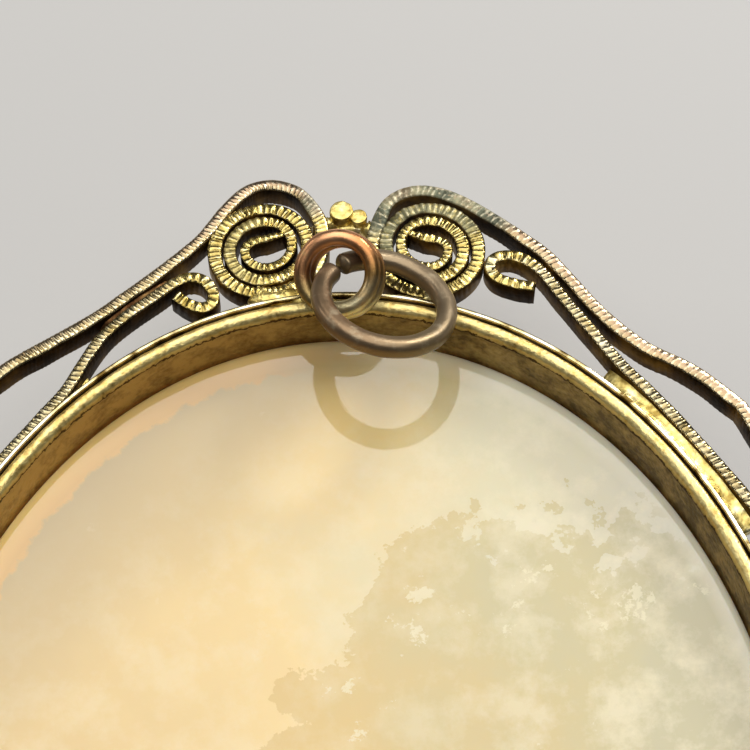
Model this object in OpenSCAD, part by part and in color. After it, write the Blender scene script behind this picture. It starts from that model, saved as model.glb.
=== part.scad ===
// Cameo brooch pendant, lying on its face: an oval shell cameo in a metal bezel,
// inside a border of scrolled ribbon wire, with a hanging loop, a chain ring and a brooch pin.
// X runs across the pendant, Y from its foot to its top, and Z up through its back.

/* [Oval setting] */
// Half width of the opening inside the back rim
opening_half_w = 19; // [18:0.5:20]
// Half height of the opening inside the back rim
opening_half_h = 23.75; // [22.75:0.25:24.75]
// Width of the back rim
rim_w = 0.68; // [0.6:0.02:0.72]
// Depth from the back rim down to the edge of the shell
rim_depth = 2.65; // [2.4:0.05:2.9]
// Width of the front lip that the shell rests on
lip_w = 1; // [0.8:0.1:1.2]
// Thickness of the front lip
lip_t = 0.7; // [0.5:0.1:0.9]
// Clearance between pieces that are fitted together
fit_gap = 0.1; // [0.06:0.02:0.12]

/* [Shell cameo] */
// Height of the front dome above its flange
dome_rise = 4.7; // [4.5:0.1:4.9]
// Depth of the hollow back
dish_depth = 1.6; // [1.4:0.1:2.4]
// Thickness of the flange around the edge
flange_t = 1.7; // [1.6:0.1:1.9]
// Height of the carved flowers over the top of the dome
relief_h = 1.3; // [1.2:0.1:1.4]

/* [Scroll border] */
// Thickness of the thin band around the bezel
band_t = 0.22; // [0.2:0.01:0.24]
// Height of that band
band_h = 2.2; // [2:0.1:2.5]
// Thickness of the ribbon wire in the strands
strand_t = 0.56; // [0.5:0.02:0.58]
// Thickness of the ribbon wire in the spirals
spiral_t = 0.6; // [0.56:0.01:0.62]
// Height of the ribbon wire, across the oval's plane
ribbon_h = 1.4; // [1.2:0.1:1.7]
// How far the ribbon wire's edge lies below the back rim
ribbon_drop = 0.2; // [0.1:0.05:0.4]
// Radius of the spirals' outer turn
spiral_r = 2.37; // [2.3:0.01:2.4]
// How much the radius shrinks each half turn
spiral_step = 0.36; // [0.35:0.01:0.36]
// Distance from the motif's middle to a spiral's middle
spiral_x = 3.87; // [3.8:0.01:3.95]
// Distance from the band to the middle line of a spiral's outer turn
spiral_lift = 0.6; // [0.5:0.05:0.65]

/* [Rings] */
// Middle radius of the hanging loop's two coils
loop_r = 1.66; // [1.62:0.01:1.7]
// Wire diameter of the hanging loop
loop_wire = 0.82; // [0.76:0.02:0.84]
// Middle radius of the chain ring
ring_r = 2.92; // [2.88:0.01:2.96]
// Wire diameter of the chain ring
ring_wire = 1.08; // [1:0.02:1.1]

/* [Brooch pin] */
// Wire diameter of the pin's stem
stem_d = 0.8; // [0.6:0.1:1]
// Height of the stem's middle over the back rim
stem_lift = 1.3; // [1.2:0.1:1.6]
// How far below the oval's middle the pin lies
stem_y = 1.5; // [1:0.5:4]
// Width of the pin's feet and catch, along the stem
foot_w = 0.9; // [0.8:0.1:1]
// Length of the pin's feet and hinge, along the rim
foot_l = 3.4; // [3:0.2:4]

/* [Hidden] */
// Heights, from the surface that the carving rests on
dome_z = relief_h;
flange_z = dome_z + dome_rise;
shell_edge_z = flange_z + flange_t;
rim_z = shell_edge_z + rim_depth;
bezel_z = flange_z - fit_gap - lip_t;
ribbon_z = rim_z - ribbon_drop - ribbon_h;

// The oval's half sizes at the bezel's outside and at the thin band's outside
bezel_grow = rim_w;
band_grow = rim_w + fit_gap + band_t;
band_a = opening_half_w + band_grow;
band_b = opening_half_h + band_grow;
oval_stretch = opening_half_h / opening_half_w;

// The rim's rounded top, as one step in from its sides and down from its top
rim_step = 0.12;
rim_step_h = 0.25;

// Edge of the shell: the flange's clearance, and how far the dome and the dish start in from it
dome_inset = 1.1;
dish_inset = 0.3;
flange_r = opening_half_w - fit_gap;

// Ramanujan's quarter length of the oval, and the angle at a run along it from the top
oval_quarter = PI / 4 * (3 * (band_a + band_b) - sqrt((3 * band_a + band_b) * (band_a + 3 * band_b)));
function oval_angle(run) =
    90 * run / oval_quarter
    + 90 / PI * (band_b - band_a) / (band_b + band_a) * sin(180 * run / oval_quarter);

// Outline of the raised border, as two short tables for the two sides of a motif.
// HOOD rows, from the motif's middle outwards: across, out from the band
HOOD_RIGHT = [[1.42, 4.5], [2.02, 5.72], [3.1, 6.33], [4.5, 6.22], [6.13, 5.36]];
HOOD_LEFT = [[1.14, 4.4], [1.61, 5.45], [2.4, 6.35], [3.6, 6.75], [4.8, 6.4], [5.81, 5.3]];
// LINK rows, from a motif to halfway along the quarter: run along the oval, distance off the band
LINK_RIGHT = [[6.7, 4.88], [7.9, 4.4], [9.2, 3.68], [10.65, 3.02], [12.1, 2.72], [13.4, 2.74], [15.4, 3.36]];
LINK_LEFT = [[5.6, 4.4], [6.8, 3.72], [8, 3.26], [9.4, 2.92], [10.8, 2.73], [12.4, 2.84], [14.9, 3.32]];
LINK_MIDDLE = 3.75;
// CURL rows, from the curl's free end to the band: run along the oval, distance off the band
CURL_RIGHT = [[8.03, 2.6], [7.3, 2.35], [6.4, 2.35], [5.95, 2.85], [6.08, 3.4], [6.6, 3.75], [7.25, 3.75],
    [8.1, 3.4], [9.4, 2.6], [11.1, 1.84], [12.9, 1.27], [14.6, 1.08], [16.4, 0.98]];
CURL_LEFT = [[7.5, 1.9], [7.2, 1.25], [6.75, 0.78], [6.25, 0.76], [5.97, 1.3], [6.1, 2.05], [6.55, 2.5],
    [7.2, 2.55], [8.5, 2.2], [9.8, 1.97], [11.2, 1.62], [12.5, 1.05], [13.9, 0.48], [15.6, 0.27]];
// Where the solder between the inner strand and the band starts, as a run along the oval
SOLDER_RUN = 12.6;

// On the flatter sides of the oval the strands start a little farther along
far_share = 0.93;
half_run = oval_quarter / 2;
function far_run(run) = oval_quarter - half_run + (half_run - run) * far_share;

// A point off the band at a run along it from the top
function oval_point(run, off) =
    let (t = oval_angle(run), n = [sin(t) / band_a, cos(t) / band_b])
    [band_a * sin(t), band_b * cos(t)] + n / norm(n) * off;
function side_point(row, far) = oval_point(far ? far_run(row[0]) : row[0], row[1]);

// The band's height under a spiral, for a motif on the top and for one on the side
top_y = band_b * sqrt(1 - pow(spiral_x / band_a, 2));
side_x = band_a * sqrt(1 - pow(spiral_x / band_b, 2));
function motif_point(p, far) = far ? [side_x + p[1], p[0]] : [p[0], top_y + p[1]];

function flip(rows) = [for (i = [len(rows) - 1:-1:0]) rows[i]];

// A smooth line through knots, with a few samples from each knot to the next
SAMPLES = 4;
function along(p0, p1, p2, p3, f) =
    0.5 * (2 * p1 + (p2 - p0) * f + (2 * p0 - 5 * p1 + 4 * p2 - p3) * f * f
        + (3 * p1 - p0 - 3 * p2 + p3) * f * f * f);
function smooth(k) = concat(
    [for (i = [0:len(k) - 2], j = [0:SAMPLES - 1])
        along(k[max(i - 1, 0)], k[i], k[i + 1], k[min(i + 2, len(k) - 1)], j / SAMPLES)],
    [k[len(k) - 1]]);

// The side of a line at a distance to its left
function line_side(line, off) =
    [for (i = [0:len(line) - 1])
        let (d = line[min(i + 1, len(line) - 1)] - line[max(i - 1, 0)], u = d / norm(d))
        line[i] + [-u[1], u[0]] * off];

// Ribbon wire standing on edge along a line
module ribbon(line, t) {
    translate([0, 0, ribbon_z])
        linear_extrude(ribbon_h)
            polygon(concat(line_side(line, t / 2), flip(line_side(line, -t / 2))));
}

// Three turns of ribbon wire in half circles, from the straight inner end out to the hood
half_turns = 5;
inner_end = 1;
module spiral() {
    right_y = spiral_lift + spiral_r;
    left_y = right_y + spiral_step;
    for (i = [0:half_turns])
        translate([spiral_x, i % 2 == 0 ? left_y : right_y, ribbon_z])
            // The outermost piece is a quarter circle, which ends where the hood starts
            rotate_extrude(angle = i == 0 ? 90 : 180, start = i == 0 ? 180 : i % 2 == 0 ? 90 : -90, $fn = 96)
                translate([spiral_r + spiral_step * (1 - i) - spiral_t / 2, 0])
                    square([spiral_t, ribbon_h]);
    end_r = spiral_r + spiral_step * (1 - half_turns);
    translate([spiral_x - inner_end, right_y + end_r - spiral_t / 2, ribbon_z])
        cube([inner_end, spiral_t, ribbon_h]);
}

// Solder under a spiral, where it stands on the band. It keeps clear of the wire's two edges
spiral_solder_r = 0.58;
spiral_solder_y = 0.5;
solder_rise = 0.2;
solder_drop = 0.3;
module spiral_solder() {
    translate([spiral_x, spiral_solder_y, ribbon_z + solder_rise])
        cylinder(r = spiral_solder_r, h = ribbon_h - solder_rise - solder_drop, $fn = 32);
}

// Half of one motif: a spiral with its solder
module half_motif(far) {
    if (far)
        translate([side_x, 0, 0])
            mirror([1, -1, 0]) {
                spiral();
                spiral_solder();
            }
    else
        translate([0, top_y, 0]) {
            spiral();
            spiral_solder();
        }
}

// The strand over the two spirals of a quarter, from one motif's middle to the next one's.
// It starts a little inside the end of the spiral
hood_overlap = 0.25;
module outer_strand(hood, link) {
    start = [spiral_x - spiral_r - spiral_step, spiral_lift + spiral_r + spiral_step - hood_overlap];
    near = concat([for (p = concat([start], hood)) motif_point(p, false)],
        [for (row = link) side_point(row, false)]);
    far = concat([for (p = concat([start], hood)) motif_point(p, true)],
        [for (row = link) side_point(row, true)]);
    ribbon(smooth(concat(near, [oval_point(half_run, LINK_MIDDLE)], flip(far))), strand_t);
}

// The strand that runs along the band and ends in a small curl by each motif
module inner_strand(curl) {
    near = [for (row = curl) side_point(row, false)];
    far = [for (row = curl) side_point(row, true)];
    ribbon(smooth(concat(near, flip(far))), strand_t);
}

// Solder that fills the narrow end between the inner strand and the band
module strand_solder(curl) {
    rows = [for (row = curl) if (row[0] > SOLDER_RUN) row];
    under = -band_t / 2;
    upper = concat([for (row = rows) side_point(row, false)], flip([for (row = rows) side_point(row, true)]));
    lower = concat([for (row = rows) side_point([row[0], under], false)], [oval_point(half_run, under)],
        flip([for (row = rows) side_point([row[0], under], true)]));
    translate([0, 0, ribbon_z + solder_rise])
        linear_extrude(ribbon_h - solder_rise - solder_drop)
            polygon(concat(upper, flip(lower)));
}

// One quarter of the border, from the top motif's middle to the side motif's middle
module quarter_border(hood, link, curl) {
    half_motif(false);
    half_motif(true);
    outer_strand(hood, link);
    inner_strand(curl);
    strand_solder(curl);
}

// Two beads and a bar that join the hoods in the middle of a motif.
// BEADS rows: across, out from the band, radius, how far it stands over the wire's edge
BEADS = [[-0.25, 5.1, 0.58, 0.1], [0.55, 4.9, 0.46, -0.05]];
BAR = [2.4, 0.45, 0.7];
bar_y = 4.55;
module motif_beads() {
    for (bead = BEADS)
        translate([bead[0], bead[1], ribbon_z])
            cylinder(r = bead[2], h = ribbon_h + bead[3], $fn = 32);
    translate([-BAR[0] / 2, bar_y, ribbon_z + solder_drop])
        cube(BAR);
}

module oval(grow) {
    scale([opening_half_w + grow, opening_half_h + grow])
        circle(r = 1, $fn = 180);
}

module scroll_frame() {
    color("darkkhaki") {
        translate([0, 0, rim_z - band_h])
            linear_extrude(band_h)
                difference() {
                    oval(band_grow);
                    oval(band_grow - band_t);
                }
        for (turn = [0, 180])
            rotate([0, 0, turn]) {
                quarter_border(HOOD_RIGHT, LINK_RIGHT, CURL_RIGHT);
                mirror([1, 0, 0])
                    quarter_border(HOOD_LEFT, LINK_LEFT, CURL_LEFT);
                translate([0, top_y, 0])
                    motif_beads();
                translate([side_x, 0, 0])
                    rotate([0, 0, -90])
                        motif_beads();
            }
    }
}

// Oval wall with a seat lip in front, and the hanging loop soldered on its back rim
module bezel() {
    color("goldenrod") {
        difference() {
            translate([0, 0, bezel_z])
                union() {
                    linear_extrude(rim_z - rim_step_h - bezel_z)
                        oval(bezel_grow);
                    linear_extrude(rim_z - bezel_z)
                        oval(bezel_grow - rim_step);
                }
            translate([0, 0, bezel_z + lip_t])
                linear_extrude(rim_z - bezel_z)
                    oval(0);
            translate([0, 0, rim_z - rim_step_h])
                linear_extrude(2 * rim_step_h)
                    oval(rim_step);
            translate([0, 0, bezel_z - lip_t])
                linear_extrude(3 * lip_t)
                    oval(-lip_w);
        }
        hanging_loop();
    }
}

// The loop's middle over the back rim, its lean, the way it leans, half its coils' pitch in wires,
// and how far each coil is shifted to the side of that middle
LOOP_MIDDLE = [-0.275, 24.71, 1.51];
loop_lean = 33;
loop_turn = -113;
loop_pitch = 0.3;
COIL_SHIFT = [-0.06, 0.055, 0];
// Solder at the loop's foot: its middle over the back rim, its radius and its height
LOOP_SOLDER = [-0.8, 23.98, -0.2];
loop_solder_r = 0.45;
loop_solder_h = 0.65;

module hanging_loop() {
    translate([0, 0, rim_z]) {
        for (side = [-1, 1])
            translate(LOOP_MIDDLE + side * COIL_SHIFT)
                rotate([0, loop_lean, loop_turn])
                    translate([0, 0, side * loop_wire * loop_pitch])
                        rotate_extrude($fn = 64)
                            translate([loop_r, 0])
                                circle(d = loop_wire, $fn = 32);
        translate(LOOP_SOLDER)
            cylinder(r = loop_solder_r, h = loop_solder_h, $fn = 32);
    }
}

// The chain ring's middle over the back rim, its lean and the way it leans
RING_MIDDLE = [1.75, 23.05, 1.69];
ring_lean = 20.5;
ring_turn = 53.5;

module chain_ring() {
    color("rosybrown")
        translate(RING_MIDDLE + [0, 0, rim_z])
            rotate([0, ring_lean, ring_turn])
                rotate_extrude($fn = 96)
                    translate([ring_r, 0])
                        circle(d = ring_wire, $fn = 32);
}

// Flower heads of the carving: across, up, petal radius, petals
FLOWERS = [[-5.2, 1.6, 2.1, 5], [5.4, 2.6, 1.9, 6], [0.6, -5.6, 2.2, 5], [0.2, 7.6, 1.5, 5]];
// Leaves of the carving: across, up, length, which way it points
LEAVES = [[-7.4, 7.4, 5.2, 125], [7.2, 8.6, 4.8, 50], [-7.2, -5.4, 5.4, 215], [7.4, -4.6, 5.2, -35],
    [0.3, 12.4, 4.4, 90], [-3.4, -11.2, 4.8, 245], [4.4, -11, 4.6, -60], [0, 1.2, 4, 90]];

// Height of the front dome at a place on it
dome_base_r = flange_r - dome_inset;
dome_ball = (dome_base_r * dome_base_r + dome_rise * dome_rise) / (2 * dome_rise);
function dome_at(x, y) = dome_z + dome_ball - sqrt(dome_ball * dome_ball - x * x - pow(y / oval_stretch, 2));

// Flowers: petals set in a ring, and a button in the middle, as shares of the petals' radius
petal_ring = 0.95;
petal_height = 0.75;
button_ball = 0.55;
button_stalk = 0.5;
stalk_start = 0.4;
stalk_h = 2;
// Leaves: the outline's bow and its half width, as shares of their length, and their height
leaf_bow = 0.8;
leaf_width = 0.28;
leaf_height = 0.55;
leaf_depth = 1.6;

module flower(row) {
    petal_r = row[2];
    ring = petal_r * petal_ring;
    depth = dome_at(row[0], row[1]);
    translate([row[0], row[1], 0]) {
        for (i = [0:row[3] - 1])
            rotate([0, 0, 90 + 360 / row[3] * i])
                translate([ring, 0, depth - relief_h * petal_height + petal_r])
                    sphere(r = petal_r, $fn = 32);
        translate([0, 0, max(petal_r * button_ball, depth - relief_h)])
            sphere(r = petal_r * button_ball, $fn = 32);
        translate([0, 0, max(0, depth - relief_h) + stalk_start])
            cylinder(r = petal_r * button_stalk, h = stalk_h, $fn = 32);
    }
}

module leaf(row) {
    reach = row[2];
    bow = reach * leaf_bow;
    depth = dome_at(row[0], row[1]);
    translate([row[0], row[1], depth - leaf_height])
        rotate([0, 0, row[3]])
            linear_extrude(leaf_depth)
                intersection() {
                    translate([0, bow - reach * leaf_width]) circle(r = bow, $fn = 64);
                    translate([0, reach * leaf_width - bow]) circle(r = bow, $fn = 64);
                }
}

// The shell's outside: a dome in front of a flat flange, stretched to the oval
module shell_body() {
    scale([1, oval_stretch, 1]) {
        translate([0, 0, flange_z])
            cylinder(r = flange_r, h = flange_t, $fn = 180);
        intersection() {
            translate([0, 0, dome_z + dome_ball])
                sphere(r = dome_ball, $fn = 180);
            cylinder(r = dome_base_r, h = flange_z + flange_t / 2, $fn = 180);
        }
    }
}

// The hollow back of the shell
module dish() {
    dish_r = flange_r - dish_inset;
    dish_ball = (dish_r * dish_r + dish_depth * dish_depth) / (2 * dish_depth);
    scale([1, oval_stretch, 1])
        translate([0, 0, shell_edge_z - dish_depth + dish_ball])
            sphere(r = dish_ball, $fn = 180);
}

module cameo() {
    color("wheat")
        difference() {
            union() {
                shell_body();
                for (row = FLOWERS) flower(row);
                for (row = LEAVES) leaf(row);
            }
            dish();
        }
}

// One plain pin: a stem across the back between a hinge block and a catch
foot_t = 0.5;
barrel_r = 0.85;
catch_inner_r = 0.45;
catch_t = 0.45;
catch_post = 0.4;
catch_turn = 270;
catch_start = 45;
module brooch_pin() {
    foot_x = opening_half_w + rim_w / 2;
    stem_z = rim_z + stem_lift;
    color("silver")
        translate([0, -stem_y, 0]) {
            translate([-foot_x, 0, stem_z])
                rotate([0, 90, 0])
                    cylinder(d = stem_d, h = 2 * foot_x, $fn = 32);
            for (side = [-1, 1])
                translate([side * foot_x - foot_w / 2, -foot_l / 2, rim_z + fit_gap / 2])
                    cube([foot_w, foot_l, foot_t]);
            // Hinge barrel across the stem
            translate([-foot_x, foot_l / 2, stem_z])
                rotate([90, 0, 0])
                    cylinder(r = barrel_r, h = foot_l, $fn = 32);
            // Catch that wraps over the stem's point
            translate([foot_x + foot_w / 2, 0, stem_z])
                rotate([0, -90, 0])
                    rotate_extrude(angle = catch_turn, start = catch_start, $fn = 48)
                        translate([catch_inner_r, 0])
                            square([catch_t, foot_w]);
            translate([foot_x - foot_w / 2, -catch_post, stem_z - catch_post])
                cube([foot_w, catch_post, catch_post]);
        }
}

scroll_frame();
bezel();
cameo();
chain_ring();
brooch_pin();
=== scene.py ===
import math
from functools import partial

import bmesh
import bpy
import numpy as np
from mathutils import Matrix, Vector, noise


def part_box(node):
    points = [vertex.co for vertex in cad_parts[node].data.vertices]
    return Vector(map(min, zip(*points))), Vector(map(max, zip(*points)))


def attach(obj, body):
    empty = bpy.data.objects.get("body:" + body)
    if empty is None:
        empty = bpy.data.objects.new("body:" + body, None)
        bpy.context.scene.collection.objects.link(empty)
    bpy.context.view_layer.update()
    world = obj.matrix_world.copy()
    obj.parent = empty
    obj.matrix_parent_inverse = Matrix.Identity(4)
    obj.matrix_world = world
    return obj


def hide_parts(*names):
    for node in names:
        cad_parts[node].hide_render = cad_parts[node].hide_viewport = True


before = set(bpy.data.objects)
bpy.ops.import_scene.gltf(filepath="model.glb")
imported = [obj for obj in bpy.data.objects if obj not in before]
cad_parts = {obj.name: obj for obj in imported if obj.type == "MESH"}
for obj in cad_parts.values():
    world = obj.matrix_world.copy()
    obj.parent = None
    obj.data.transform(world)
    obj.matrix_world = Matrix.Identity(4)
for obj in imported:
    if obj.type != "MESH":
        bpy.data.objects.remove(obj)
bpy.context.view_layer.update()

mm = 0.001

# Small helpers: colours, nodes, meshes and finished pieces


def linear(hexColour):
    parts = [int(hexColour[i:i + 2], 16) / 255 for i in (1, 3, 5)]
    return [c / 12.92 if c <= 0.04045 else ((c + 0.055) / 1.055) ** 2.4 for c in parts] + [1.0]


def fillNode(node, values):
    # Numbers and hex colours are set, and what another node gives is linked. A range is given as a pair
    for key, value in values.items():
        if isinstance(value, str) and value.startswith("#"):
            value = linear(value)
        if isinstance(value, bpy.types.NodeSocket):
            node.id_data.links.new(value, node.inputs[key])
        elif key in ("From", "To"):
            fillNode(node, {key + " Min": value[0], key + " Max": value[1]})
        elif key == "stops":
            while len(node.color_ramp.elements) < len(value):
                node.color_ramp.elements.new(0.5)
            for element, (place, colour) in zip(node.color_ramp.elements, value):
                element.position = place
                element.color = linear(colour)
        elif isinstance(key, int) or key in node.inputs:
            node.inputs[key].default_value = value
        else:
            setattr(node, key, value)


def addNode(tree, kind, values, output=0):
    node = tree.nodes.new("ShaderNode" + kind)
    fillNode(node, values)
    return node.outputs[output]


def startMaterial(name, *attributes):
    # Also gives the node adder, the object coordinates and what the attributes' nodes give
    material = bpy.data.materials.new(name)
    material.use_nodes = True
    material.node_tree.nodes.clear()
    add = partial(addNode, material.node_tree)
    values = [add("Attribute", {"attribute_name": attribute}, "Fac") for attribute in attributes]
    return material, add, add("TexCoord", {}, "Object"), *values


def finishMaterial(material, values):
    nodes = material.node_tree.nodes
    surface = nodes.new("ShaderNodeBsdfPrincipled")
    fillNode(surface, values)
    fillNode(nodes.new("ShaderNodeOutputMaterial"), {"Surface": surface.outputs[0]})
    return material


def perMm(sizeMm):
    return 1 / (sizeMm * mm)  # noise scale for a feature of this size, as object coordinates are in metres


def addObject(name, data):
    thing = bpy.data.objects.new(name, data)
    bpy.context.collection.objects.link(thing)
    return thing


def finishPiece(name, mesh, material, stands):
    mesh.name = name
    mesh.materials.append(material)
    for polygon in mesh.polygons:
        polygon.use_smooth = True
    piece = addObject(name, mesh)
    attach(piece, "root")
    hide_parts(stands)
    return piece


def among(things, verts):
    # The edges or faces between these vertices, in the mesh's own order, so that each run is the same
    known = set(verts)
    return [thing for thing in things if all(v in known for v in thing.verts)]


def takeMesh(bm, name):
    mesh = bpy.data.meshes.new(name)
    bm.to_mesh(mesh)
    bm.free()
    return mesh


def gridMesh(rows, columns):
    bm = bmesh.new()
    bmesh.ops.create_grid(bm, x_segments=rows - 1, y_segments=columns - 1, size=1.0)
    mesh = takeMesh(bm, "grid")
    flat = getPlaces(mesh) * mm
    row, column = [np.rint((flat[:, i] + 1) / 2 * (count - 1)).astype(int)
                   for i, count in enumerate((rows, columns))]
    return mesh, row, column


def getPlaces(mesh):
    flat = np.empty(len(mesh.vertices) * 3)
    mesh.vertices.foreach_get("co", flat)
    return flat.reshape(-1, 3) / mm


def setPlaces(mesh, placesMm):
    mesh.vertices.foreach_set("co", (np.asarray(placesMm) * mm).ravel())
    mesh.update()


def setAttributes(mesh, attributes):
    for name, values in attributes.items():
        layer = mesh.attributes.new(name, "FLOAT", "POINT")
        layer.data.foreach_set("value", np.asarray(values, dtype=np.float32))


def closeMesh(mesh, capEnds=True):
    bm = bmesh.new()
    bm.from_mesh(mesh)
    bmesh.ops.remove_doubles(bm, verts=bm.verts, dist=0.0005 * mm)
    bmesh.ops.dissolve_degenerate(bm, edges=bm.edges, dist=0.0002 * mm)
    if capEnds:
        bmesh.ops.holes_fill(bm, edges=[e for e in bm.edges if e.is_boundary], sides=0)
    bmesh.ops.recalc_face_normals(bm, faces=bm.faces)
    bm.to_mesh(mesh)
    bm.free()


def raised(points, height):
    return np.column_stack([points, np.broadcast_to(height, len(points))])


def sweep(centres, across, sections):
    # Lofts closed sections along a line: sections holds an (across, up) pair for each row and column
    rows, columns = sections.shape[:2]
    mesh, row, column = gridMesh(rows, columns + 1)
    column = column % columns
    pair = sections[row, column]
    setPlaces(mesh, centres[row] + across[row] * pair[:, :1] + np.array([0, 0, 1]) * pair[:, 1:])
    return mesh, row, column


def smoothStep(low, high, value):
    t = np.clip((value - low) / (high - low), 0, 1)
    return t * t * (3 - 2 * t)


def bow(values, power):
    # Swells a cosine or sine, so that a round section becomes a boxier one
    return np.sign(values) * np.abs(values) ** power


def rotation(degrees, axis):
    return Matrix.Rotation(math.radians(degrees), 4, axis)


noiseTop = 0.7  # about the highest value that the noise gives, so that worn metal only sinks


def wearDown(mesh, sizeMm, depthMm, seed):
    # Pushes each vertex inwards by noise, for the dents and rubbed places that the metal really has
    for vertex in mesh.vertices:
        bump = noise.noise(vertex.co / (sizeMm * mm) + Vector((seed, 0, 0)))
        vertex.co = vertex.co + vertex.normal * (bump - noiseTop) * 0.5 * depthMm * mm


# The oval that everything follows

setting = {
    "openingHalfW": 19.0,  # mm, opening inside the back rim
    "openingHalfH": 23.75,
    "rimWidth": 0.68,
    "fitGap": 0.1,
    "bandThickness": 0.22,
    "bandHeight": 2.2,
    "bandSoftness": 0.06,  # rounding of the band's upper edge
    "wallToShell": 2.65,  # from the rim down to the shell's edge
    "flange": 1.7,
    "lipWidth": 1.0,
    "lipThickness": 0.7,
    # rounded back rim, from the band's side to the opening: out from the opening, up from the rim's top
    "crown": [(0.66, -0.12), (0.6, -0.04), (0.5, -0.005), (0.42, 0.0), (0.34, -0.012), (0.27, -0.035),
              (0.2, -0.075), (0.13, -0.135), (0.07, -0.21), (0.03, -0.3), (0.0, -0.42)],
    "lipEdge": 0.1,  # cut off the lip's and the wall's lower edges
    "wallEdge": 0.12,
    "shadeLine": 0.2,  # depth of the ragged line of painted shade under the rim's painted highlight
    "bandSegments": 480,
    "bezelSegments": 600,
    "bezelWear": (0.7, 0.04, 3),  # size and depth of the dents, seed
}
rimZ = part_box("scroll_frame")[1][2] / mm  # the band's top is level with the back rim
shellEdgeZ = rimZ - setting["wallToShell"]
flangeZ = shellEdgeZ - setting["flange"]
bandGrow = setting["rimWidth"] + setting["fitGap"] + setting["bandThickness"]
bandA = setting["openingHalfW"] + bandGrow
bandB = setting["openingHalfH"] + bandGrow
quarter = math.pi / 4 * (3 * (bandA + bandB) - math.sqrt((3 * bandA + bandB) * (bandA + 3 * bandB)))


def ovalPoint(run, off):
    # A point off the band at a run along it from the top
    t = math.pi * run / quarter
    t = t / 2 + 0.5 * (bandB - bandA) / (bandB + bandA) * math.sin(t)
    out = np.array([math.sin(t) / bandA, math.cos(t) / bandB])
    return np.array([bandA * math.sin(t), bandB * math.cos(t)]) + out / np.linalg.norm(out) * off


# Milled ribbon wire on edge: outlines of the raised border

border = {
    # across, out from the band
    "hoodRight": [(1.42, 4.5), (2.02, 5.72), (3.1, 6.33), (4.5, 6.22), (6.13, 5.36)],
    "hoodLeft": [(1.14, 4.4), (1.61, 5.45), (2.4, 6.35), (3.6, 6.75), (4.8, 6.4), (5.81, 5.3)],
    # along the oval, off the band
    "linkRight": [(6.7, 4.88), (7.9, 4.4), (9.2, 3.68), (10.65, 3.02), (12.1, 2.72), (13.4, 2.74),
                  (15.4, 3.36)],
    "linkLeft": [(5.6, 4.4), (6.8, 3.72), (8, 3.26), (9.4, 2.92), (10.8, 2.73), (12.4, 2.84), (14.9, 3.32)],
    "linkMiddle": 3.75,
    "curlRight": [(8.03, 2.6), (7.3, 2.35), (6.4, 2.35), (5.95, 2.85), (6.08, 3.4), (6.6, 3.75), (7.25, 3.75),
                  (8.1, 3.4), (9.4, 2.6), (11.1, 1.84), (12.9, 1.27), (14.6, 1.08), (16.4, 0.98)],
    "curlLeft": [(7.5, 1.9), (7.2, 1.25), (6.75, 0.78), (6.25, 0.76), (5.97, 1.3), (6.1, 2.05), (6.55, 2.5),
                 (7.2, 2.55), (8.5, 2.2), (9.8, 1.97), (11.2, 1.62), (12.5, 1.05), (13.9, 0.48),
                 (15.6, 0.27)],
    "farShare": 0.93,  # the strands start a little farther along on the flatter sides
    "spiralRadius": 2.37,
    "spiralStep": 0.36,
    "spiralAcross": 3.87,
    "spiralLift": 0.6,
    "halfTurns": 5,
    "turnSamples": 60,
    "hook": [(-0.9, 0.95), (-0.62, 0.86), (-0.32, 0.76)],  # the spiral's tip, from the spiral's middle
    "hookSquash": 0.7,
}
spiralAcross = border["spiralAcross"]
topY = bandB * math.sqrt(1 - (spiralAcross / bandA) ** 2)
sideX = bandA * math.sqrt(1 - (spiralAcross / bandB) ** 2)
halfRun = quarter / 2


def sidePoint(row, far):
    run, off = row
    return ovalPoint(quarter - halfRun + (halfRun - run) * border["farShare"] if far else run, off)


def motifPoint(point, far):
    return np.array([sideX + point[1], point[0]] if far else [point[0], topY + point[1]])


def smoothLine(knots, samples=20):
    knots = np.array(knots)
    padded = np.vstack([knots[:1], knots, knots[-1:]])
    line = []
    for i in range(len(knots) - 1):
        p0, p1, p2, p3 = padded[i:i + 4]
        for f in np.arange(samples) / samples:
            line.append(0.5 * (2 * p1 + (p2 - p0) * f + (2 * p0 - 5 * p1 + 4 * p2 - p3) * f * f
                               + (3 * p1 - p0 - 3 * p2 + p3) * f ** 3))
    line.append(knots[-1])
    return np.array(line)


def spiralLine():
    # From the straight inner end outwards, in half circles, as (across, out from the band)
    rightY = border["spiralLift"] + border["spiralRadius"]
    line = [[spiralAcross + x, rightY + y] for x, y in border["hook"]]
    for i in range(border["halfTurns"], -1, -1):
        radius = border["spiralRadius"] + border["spiralStep"] * (1 - i)
        middleY = rightY if i % 2 else rightY + border["spiralStep"]
        start, end = (90, -90) if i % 2 else (270, 90 if i else 180)
        for degrees in np.linspace(start, end, border["turnSamples"])[:-1]:
            turn = math.radians(degrees)
            squash = border["hookSquash"] if i == border["halfTurns"] and degrees > 0 else 1
            line.append([spiralAcross + radius * math.cos(turn), middleY + radius * math.sin(turn) * squash])
    return line


def outerStrand(hood, link):
    halves = []
    for far in (False, True):
        spiral = np.array([motifPoint(p, far) for p in spiralLine()])
        hoodLine = smoothLine([spiral[-1], *[motifPoint(p, far) for p in hood],
                               *[sidePoint(row, far) for row in link],
                               ovalPoint(halfRun, border["linkMiddle"])])
        halves.append(np.vstack([spiral, hoodLine[1:]]))
    return np.vstack([halves[0], halves[1][::-1][1:]])


def innerStrand(curl):
    return smoothLine([sidePoint(row, False) for row in curl] + [sidePoint(row, True) for row in curl][::-1])


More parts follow.
